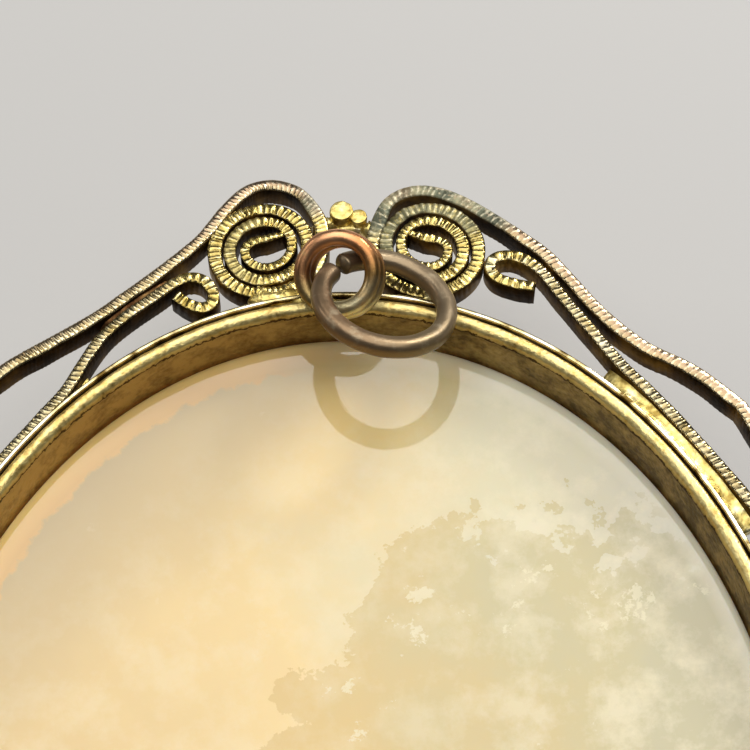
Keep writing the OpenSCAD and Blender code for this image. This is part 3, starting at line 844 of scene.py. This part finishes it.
# Round the loop: the bright pale orange stops are a painted highlight at its top
copperAndHighlightStops = [(0.0, "#c6b787"), (0.14, "#e2d6aa"), (0.3, "#93703e"), (0.45, "#cd8a58"), (0.55, "#f8b985"),
               (0.66, "#e0a272"), (0.78, "#906542"), (0.92, "#9c8856"), (1.0, "#c6b787")]
bronzeStops = [(0.0, "#917d61"), (0.15, "#968366"), (0.3, "#826e53"), (0.42, "#8e7355"), (0.55, "#8c7457"),
               (0.7, "#8f7b5b"), (0.9, "#968266"), (1.0, "#917d61")]
copper = ringMaterial("coppery torched wire", copperAndHighlightStops, "#c9a670", "#3a2210", 0.26, 0.95)
bronze = ringMaterial("dull handled bronze wire", bronzeStops, "#b3a284", "#33241a", 0.3, 0.78)
ringWire("hangingLoop", rings["loop"], copper, "bezel", 5)
ringWire("chainRing", rings["chain"], bronze, "chain_ring", 9)
print("rings done")

# Shell cameo

cameo = {
    "domeRise": 4.7,  # mm
    "domeInset": 1.1,
    "dishDepth": 1.6,
    "dishInset": 0.3,
    "groundZ": 1.3,  # the dome's top: the carving reaches from here down to the table
    "cells": 210,
    "flowers": [(-5.2, 1.6, 2.1, 5), (5.4, 2.6, 1.9, 6), (0.6, -5.6, 2.2, 5), (0.2, 7.6, 1.5, 5)],
    "leaves": [(-7.4, 7.4, 5.2, 125), (7.2, 8.6, 4.8, 50), (-7.2, -5.4, 5.4, 215), (7.4, -4.6, 5.2, -35),
               (0.3, 12.4, 4.4, 90), (-3.4, -11.2, 4.8, 245), (4.4, -11, 4.6, -60), (0, 1.2, 4, 90)],
    "stem": (0.4, 0.32, 11.5),  # height, half width, half length
}
flangeR = setting["openingHalfW"] - setting["fitGap"]
stretchY = setting["openingHalfH"] / setting["openingHalfW"]
domeR = flangeR - cameo["domeInset"]
dishR = flangeR - cameo["dishInset"]
domeBall = (domeR ** 2 + cameo["domeRise"] ** 2) / (2 * cameo["domeRise"])
dishBall = (dishR ** 2 + cameo["dishDepth"] ** 2) / (2 * cameo["dishDepth"])


def domeAt(x, y):
    radius = np.minimum(np.hypot(x, y / stretchY), domeR)
    return cameo["groundZ"] + domeBall - np.sqrt(domeBall ** 2 - radius ** 2)


def alongAside(x, y, angle):
    return x * math.cos(angle) + y * math.sin(angle), -x * math.sin(angle) + y * math.cos(angle)


def flowerRelief(x, y, across, out, size, petals):
    # Cupped petals with fine ribs round a button that reaches the table
    height = np.zeros_like(x)
    for i in range(petals):
        angle = math.pi / 2 + 2 * math.pi * i / petals
        along, aside = alongAside(x - across, y - out, angle)
        along = along - size * 0.95
        inside = 1 - (along / size) ** 2 - (aside / (size * 0.84)) ** 2
        ribs = 1 - 0.07 * np.abs(np.sin(aside / size * 9))
        cup = 0.66 + 0.34 * smoothStep(0, size * 0.55, np.hypot(along * 0.6, aside))
        height = np.maximum(height, 0.85 * np.sqrt(np.clip(inside, 0, 1)) * cup * ribs)
    button = np.sqrt(np.clip(1 - ((x - across) ** 2 + (y - out) ** 2) / (size * 0.45) ** 2, 0, 1))
    seeds = 1 - 0.04 * (np.sin((x - across) * 16) * np.sin((y - out) * 16)) ** 2
    return np.maximum(height, (float(domeAt(across, out)) + 0.05) * button * seeds)


def leafRelief(x, y, across, out, reach, degrees):
    # A pointed leaf with a sunk midrib and slanting side veins
    along, aside = alongAside(x - across, y - out, math.radians(degrees))
    width = 0.3 * reach * (1 - (along / (reach * 0.62)) ** 2)
    inside = np.where(width > 0, 1 - (np.abs(aside) / np.maximum(width, 1e-3)) ** 2, -1)
    midrib = 0.62 + 0.38 * smoothStep(0, 0.3, np.abs(aside))
    veins = 1 - 0.14 * np.abs(np.sin((along - np.abs(aside) * 0.9) * 3.4)) ** 4
    return 0.62 * np.clip(inside, 0, 1) ** 0.4 * midrib * veins


def carving(x, y):
    # The flowers and leaves, and a stem that bends through the middle of the spray
    high, halfWidth, halfLength = cameo["stem"]
    stem = np.abs(x - 1.2 * np.sin(y * 0.28)) / halfWidth
    height = high * np.sqrt(np.clip(1 - stem ** 2, 0, 1)) * (np.abs(y) < halfLength)
    for shape, rows in ((flowerRelief, cameo["flowers"]), (leafRelief, cameo["leaves"])):
        for row in rows:
            height = np.maximum(height, shape(x, y, *row))
    return height


def makeCameo():
    cells = cameo["cells"]
    bm = bmesh.new()
    attributes = {"relief": [], "radius": [], "back": []}
    for front in (True, False):
        mesh, row, column = gridMesh(cells + 1, cells + 1)
        u = row / cells * 2 - 1
        v = column / cells * 2 - 1
        x = u * np.sqrt(1 - v * v / 2) * flangeR
        yRound = v * np.sqrt(1 - u * u / 2) * flangeR
        radius = np.hypot(x, yRound)
        y = yRound * stretchY
        if front:
            relief = carving(x, y)
            z = np.where(radius < domeR, np.maximum(domeAt(x, y) - relief, 0), flangeZ)
        else:
            relief = np.zeros_like(x)
            deep = cameo["dishDepth"] - dishBall + np.sqrt(dishBall ** 2 - radius ** 2)
            z = shellEdgeZ - np.maximum(deep, 0)
        setPlaces(mesh, np.column_stack([x, y, z]))
        bm.from_mesh(mesh)
        bpy.data.meshes.remove(mesh)
        for name, values in zip(attributes, (relief, radius, np.full(len(x), 0.0 if front else 1.0))):
            attributes[name].append(values)
    bmesh.ops.bridge_loops(bm, edges=[e for e in bm.edges if e.is_boundary])
    bmesh.ops.recalc_face_normals(bm, faces=bm.faces)
    mesh = takeMesh(bm, "cameo")
    setAttributes(mesh, {name: np.concatenate(values) for name, values in attributes.items()})
    return finishPiece("shellCameo", mesh, shellMaterial(), "cameo")


def shellMaterial():
    # Helmet shell, cut across its layers, ground and polished like glass on the back. The upper part has a
    # thin cloudy film with a torn edge, whose sheen is painted in as a lighter colour. The layers below are
    # cream, yellower to the left and greyer to the right. In front the white layer is carved and the tan
    # layer is the ground
    material, add, place, relief, radius, back = startMaterial(
        "polished helmet shell", "relief", "radius", "back")
    x, y = [add("SeparateXYZ", {0: place}, axis) for axis in "XY"]
    cloud, ragged, lacy, fleck, haze = [
        add("TexNoise", {"Scale": perMm(size), "Detail": detail, "Roughness": rough, "Vector": place})
        for size, detail, rough in ((8.0, 5.0, 0.6), (3.6, 9.0, 0.62), (1.1, 5.0, 0.55), (1.5, 7.0, 0.7),
                                    (2.2, 8.0, 0.65))]
    # Colours of the layers, of the film, and of the painted light at the shell's edge under the rim
    across = add("MapRange", {"Value": x, "From": (-16 * mm, 15 * mm)})
    tint = add("Math", {"operation": "MULTIPLY_ADD", 0: cloud, 1: 0.6, 2: -0.3})
    tinted = add("Math", {"operation": "ADD", 0: tint, 1: across})
    layer, filmAndSheen, paintedEdgeLightColours = [add("ValToRGB", {"stops": stops, "Fac": tinted}) for stops in (
        [(0.1, "#dbb972"), (0.5, "#dbbb70"), (0.78, "#cdbd86"), (0.95, "#c6bb90")],
        [(0.1, "#e0c17f"), (0.45, "#ecce8a"), (0.75, "#dacfa5"), (0.95, "#d5ccb0")],
        [(0.35, "#ffce80"), (0.75, "#fff0cf")])]
    # The film's edge runs up the middle and then off to the right: millimetres from it, torn by the noise
    offLeft = add("Math", {"operation": "MULTIPLY_ADD", 0: x, 1: -1.0, 2: -6.0 * mm})
    leftward = add("Math", {"operation": "MULTIPLY_ADD", 0: y, 1: 0.6, 2: offLeft})
    upward = add("Math", {"operation": "ADD", 0: y, 1: -14.0 * mm})
    inside = add("Math", {"operation": "SMOOTH_MAX", 0: leftward, 1: upward, 2: 2 * mm})
    torn = add("Math", {"operation": "MULTIPLY_ADD", 0: ragged, 1: 12 * mm, 2: -6 * mm})
    edge = add("Math", {"operation": "ADD", 0: inside, 1: torn})
    # Towards the right the film is eaten into lace
    laceReach = add("MapRange", {"Value": x, "From": (6 * mm, 12 * mm), "To": (2 * mm, 14 * mm)})
    laceLevel = add("Math", {"operation": "SUBTRACT", 0: lacy, 1: 0.5})
    laced = add("Math", {"operation": "MULTIPLY_ADD", 0: laceLevel, 1: laceReach, 2: edge})
    filmAndSheenShare = add("MapRange", {"Value": laced, "From": (-0.06 * mm, 0.06 * mm)})
    hazeReach = add("MapRange", {"Value": x, "From": (2 * mm, 12 * mm), "To": (0.22, 0.6)})
    hazy = add("MapRange", {"Value": haze, "From": (0.45, 0.64), "To": (0, hazeReach)})
    # The film is painted darker in its upper left corner as shade, and along the wall there a tan strip is
    # painted as the wall's reflection
    towardsShadedCorner = add("Math", {"operation": "SUBTRACT", 0: y, 1: x})
    # Painted shade over the upper left corner
    corner = add("MapRange", {"Value": towardsShadedCorner, "From": (18 * mm, 28.5 * mm)})
    torndown = add("Math", {"operation": "MULTIPLY_ADD", 0: lacy, 1: 1.2, 2: radius})
    wallReflectionBand = add("MapRange", {"Value": torndown, "From": (18.25, 18.4)})
    onLeft = add("MapRange", {"Value": x, "From": (-1 * mm, -4 * mm)})
    # A painted reflection of the wall: a tan strip along the wall on the left
    strip = add("Math", {"operation": "MULTIPLY", 0: wallReflectionBand, 1: onLeft})
    # Painted light brightens the shell's edge, under the rim
    paintedEdgeLight = add("MapRange", {"Value": radius, "From": (17.9, 18.7), "To": (0, 0.85)})
    # Flecks of the film are left over all round, more of them in a belt some millimetres below its edge
    belt = add("Math", {"operation": "COMPARE", 0: edge, 1: -3.4 * mm, 2: 0.9 * mm})
    fleckLevel = add("Math", {"operation": "MULTIPLY_ADD", 0: belt, 1: 0.08, 2: fleck})
    flecked = add("MapRange", {"Value": fleckLevel, "From": (0.65, 0.68), "To": (0, 0.6)})
    bare = add("Math", {"operation": "MULTIPLY_ADD", 0: filmAndSheenShare, 1: -0.85, 2: 1.0})
    flecks = add("Math", {"operation": "MULTIPLY", 0: flecked, 1: bare})
    # The film and its flecks are lighter partly by their real tone and partly by their painted sheen
    colour = layer
    for share, over in ((filmAndSheenShare, filmAndSheen), (hazy, "#f1e4bf"), (corner, "#bfa776"), (strip, "#ddb26c"),
                        (paintedEdgeLight, paintedEdgeLightColours), (flecks, "#eee3bd")):
        colour = add("Mix", {"data_type": "RGBA", 0: share, 6: colour, 7: over}, 2)
    carved = add("MapRange", {"Value": relief, "From": (0.05, 0.35)})
    ground = add("ValToRGB", {"stops": [(0.4, "#a9623a"), (0.6, "#c98757")], "Fac": cloud})
    front = add("Mix", {"data_type": "RGBA", 0: carved, 6: ground, 7: "#f3e8d8"}, 2)
    return finishMaterial(material, {
        "Base Color": add("Mix", {"data_type": "RGBA", 0: back, 6: front, 7: colour}, 2),
        "Roughness": add("MapRange", {"Value": back, "To": (0.22, 0.05)}),
        "Normal": add("Bump", {"Strength": 0.05, "Distance": 0.05 * mm, "Height": cloud}),
        "IOR": 1.6,
        "Coat Weight": 0.4,
        "Subsurface Weight": 0.5,
        "Subsurface Radius": (1.0, 0.7, 0.4),
        "Subsurface Scale": 2.0 * mm})


makeCameo()
print("shell cameo done")

# Brooch pin: hinge barrel, tapered stem and rolled catch

pin = {
    "stemY": -1.5,  # mm
    "stemLift": 1.3,  # the stem's middle over the back rim
    "stemRadius": 0.4,
    "pointRadius": 0.12,
    "pointLength": 4.0,
    "footSize": (0.9, 3.4, 0.5),
    "footEdge": 0.1,
    "barrelRadius": 0.85,
    "barrelEdge": 0.08,
    "knuckle": 1.1,  # length of one of the barrel's knuckles
    "seam": (0.07, 0.1),  # half width and depth of the groove between two knuckles
    "catchRadius": 0.675,
    "catchWall": 0.45,
    "catchTurn": 270.0,
    "catchStart": -45.0,
}


def pinMaterial():
    # Steel wire, drawn and ground: grey-yellow and dull, with a little rust in the pits
    material, add, place = startMaterial("dull ground steel")
    stain, grain = [add("TexNoise", {"Scale": perMm(size), "Detail": detail, "Vector": place})
                    for size, detail in ((1.2, 5.0), (0.12, 2.0))]
    return finishMaterial(material, {
        "Base Color": add("ValToRGB", {"stops": [(0.35, "#6b5f4c"), (0.5, "#9b9484"), (0.65, "#b9b3a4")],
                                       "Fac": stain}),
        "Metallic": 1.0,
        "Roughness": add("MapRange", {"Value": stain, "From": (0.3, 0.7), "To": (0.42, 0.28)}),
        "Normal": add("Bump", {"Strength": 0.25, "Distance": 0.02 * mm, "Height": grain})})


def spunBar(bm, profile, axisMatrix):
    # Turns a profile of (place along the axis, radius) pairs round the X axis, then carries it to its place
    known = set(bm.verts)
    verts = [bm.verts.new((along, 0, radius)) for along, radius in profile]
    edges = [bm.edges.new(pair) for pair in zip(verts, verts[1:])]
    bmesh.ops.spin(bm, geom=verts + edges, cent=(0, 0, 0), axis=(1, 0, 0), angle=2 * math.pi, steps=32,
                   use_merge=True)
    bmesh.ops.transform(bm, matrix=axisMatrix, verts=[v for v in bm.verts if v not in known])


def makePin():
    footX = setting["openingHalfW"] + setting["rimWidth"] / 2
    stemZ = rimZ + pin["stemLift"]
    bm = bmesh.new()
    # Stem: from the barrel to a point that just passes through the catch
    tip = footX + pin["footSize"][0] / 2
    stem = [(-footX, 0), (-footX, pin["stemRadius"]), (tip - pin["pointLength"], pin["stemRadius"] * 0.9),
            (tip - 1.2, pin["pointRadius"] * 2), (tip - 0.3, pin["pointRadius"]), (tip, 0)]
    spunBar(bm, stem, Matrix.Translation((0, pin["stemY"], stemZ)))
    # Hinge barrel of three knuckles, lying along Y
    half = pin["footSize"][1] / 2
    radius = pin["barrelRadius"]
    edge = pin["barrelEdge"]
    seamHalf, seamDepth = pin["seam"]
    barrel = [(-half, 0), (-half, radius - edge), (-half + edge, radius)]
    for seam in (-pin["knuckle"] / 2, pin["knuckle"] / 2):
        barrel += [(seam - seamHalf, radius), (seam, radius - seamDepth), (seam + seamHalf, radius)]
    barrel += [(half - edge, radius), (half, radius - edge), (half, 0)]
    spunBar(bm, barrel, Matrix.Translation((-footX, pin["stemY"], stemZ)) @ rotation(90, "Z"))
    # Feet with rounded edges on the rim
    size = pin["footSize"]
    for side in (-1, 1):
        base = rimZ + setting["fitGap"] / 2
        spot = Matrix.Translation((side * footX, pin["stemY"], base + size[2] / 2))
        made = bmesh.ops.create_cube(bm, size=1.0, matrix=spot @ Matrix.Diagonal((*size, 1)))
        bmesh.ops.bevel(bm, geom=among(bm.edges, made["verts"]), offset=pin["footEdge"], affect="EDGES",
                        segments=3, profile=0.5, material=-1)
    # Catch: a strip rolled over the stem's point
    known = set(bm.verts)
    strip = bmesh.ops.create_grid(bm, x_segments=4, y_segments=2, size=0.5)
    middle = Matrix.Translation((0, pin["catchRadius"], 0))
    shape = middle @ Matrix.Diagonal((size[0], pin["catchWall"], 1, 1))
    bmesh.ops.transform(bm, matrix=shape, verts=strip["verts"])
    bmesh.ops.spin(bm, geom=among(bm.faces, strip["verts"]), cent=(0, 0, 0), axis=(1, 0, 0),
                   angle=math.radians(pin["catchTurn"]), steps=40)
    rolled = [v for v in bm.verts if v not in known]
    spot = Matrix.Translation((footX, pin["stemY"], stemZ)) @ rotation(pin["catchStart"], "X")
    bmesh.ops.transform(bm, matrix=spot, verts=rolled)
    bmesh.ops.remove_doubles(bm, verts=bm.verts, dist=0.001)
    bmesh.ops.recalc_face_normals(bm, faces=bm.faces)
    bmesh.ops.scale(bm, vec=(mm, mm, mm), verts=bm.verts)
    return finishPiece("broochPin", takeMesh(bm, "broochPin"), pinMaterial(), "brooch_pin")


makePin()
print("brooch pin done")

# Floor, lights and camera

studio = {
    "floorHalf": 0.6,  # metres
    "floorColour": "#c3c0bb",
    "world": "#5d646e",
    "worldStrength": 0.35,
    "eye": (1.31, -29.76, 96.95),  # mm: from over the foot, 60 degrees above the floor
    "tiltDegrees": 30.0,
    "rollDegrees": -0.3,
    "focalPixels": 2197.0,
    "imagePixels": 750.0,
    "sensorMm": 36.0,
    "lamps": [  # name, place in mm, aim in mm, width and height in mm, watts
        ("softbox", (0, 85, 300), (0, 85, 0), (380, 340), 1.0),
        ("key", (120, 170, 150), (0, 20, 10), (60, 60), 0.26),
        ("side", (-190, 60, 110), (0, 20, 10), (70, 70), 0.05),
    ],
}


def makeStudio():
    # Uncoated paper: pale and matt, with a fine tooth
    paper, add, place = startMaterial("matt paper")
    tooth = add("TexNoise", {"Scale": perMm(0.8), "Detail": 2.0, "Vector": place})
    finishMaterial(paper, {"Base Color": studio["floorColour"], "Roughness": 0.9,
                           "Normal": add("Bump", {"Strength": 0.1, "Distance": 0.05 * mm, "Height": tooth})})
    bm = bmesh.new()
    bmesh.ops.create_grid(bm, x_segments=1, y_segments=1, size=studio["floorHalf"])
    mesh = takeMesh(bm, "floor")
    mesh.materials.append(paper)
    addObject("floor", mesh)

    scene = bpy.context.scene
    scene.view_settings.view_transform = "Standard"
    scene.world = bpy.data.worlds.new("studio")
    scene.world.use_nodes = True
    sky = scene.world.node_tree.nodes["Background"]
    fillNode(sky, {"Color": studio["world"], "Strength": studio["worldStrength"]})

    for name, placeMm, aimMm, sizesMm, watts in studio["lamps"]:
        lamp = bpy.data.lights.new(name, "AREA")
        lamp.shape = "RECTANGLE"
        lamp.size, lamp.size_y = [size * mm for size in sizesMm]
        lamp.energy = watts
        away = np.array(placeMm, dtype=float) - np.array(aimMm, dtype=float)
        yaw = math.atan2(away[1], away[0]) + math.pi / 2
        pitch = math.atan2(math.hypot(away[0], away[1]), away[2])
        holder = addObject(name, lamp)
        holder.location = [v * mm for v in placeMm]
        holder.rotation_euler = (pitch, 0, yaw)

    lens = bpy.data.cameras.new("camera")
    lens.sensor_width = studio["sensorMm"]
    lens.lens = studio["focalPixels"] / studio["imagePixels"] * studio["sensorMm"]
    lens.clip_start = 1 * mm
    camera = addObject("camera", lens)
    turn = rotation(studio["tiltDegrees"], "X") @ rotation(studio["rollDegrees"], "Z")
    camera.matrix_world = Matrix.Translation([v * mm for v in studio["eye"]]) @ turn
    scene.camera = camera


makeStudio()
print("studio done")
